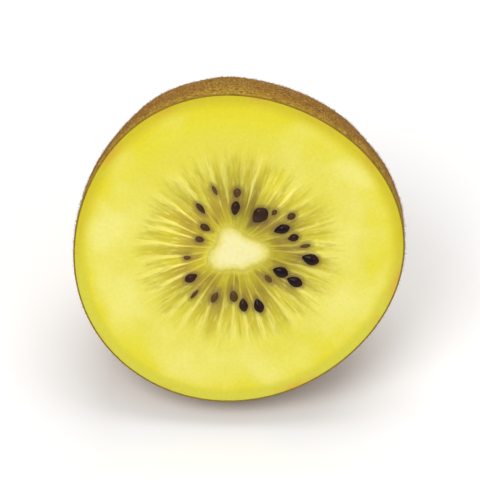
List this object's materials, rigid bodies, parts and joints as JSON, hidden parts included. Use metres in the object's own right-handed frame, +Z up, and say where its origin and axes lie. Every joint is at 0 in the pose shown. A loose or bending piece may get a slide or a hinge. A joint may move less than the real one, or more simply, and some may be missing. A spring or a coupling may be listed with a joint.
{
  "type": "golden kiwi fruit half",
  "caption": "Golden kiwi fruit cut across its middle: a thin brown peel round yellow flesh with dark seeds and a pale core, lying on a small flat spot with the cut face up and forward.",
  "frame": {"origin": "centre of the flat spot under the half, on the surface that it lies on", "axes": "+Z up, the cut face looks towards -Y and 28 degrees upwards, +X to the right of someone who looks at the cut face"},
  "size_m": [0.0534, 0.045, 0.051],
  "materials": {
    "peel": "dull, finely speckled brown skin with short down",
    "flesh": "moist, golden yellow cut flesh",
    "core": "moist, pale cream pith",
    "stem_button": "dry, dark woody scar and sepals",
    "seed": "glossy, near-black seed coat"
  },
  "bodies": {
    "root": {"peel": "peel", "flesh": "flesh", "core": "core", "stem_button": "stem_button"}
  },
  "joints": []
}
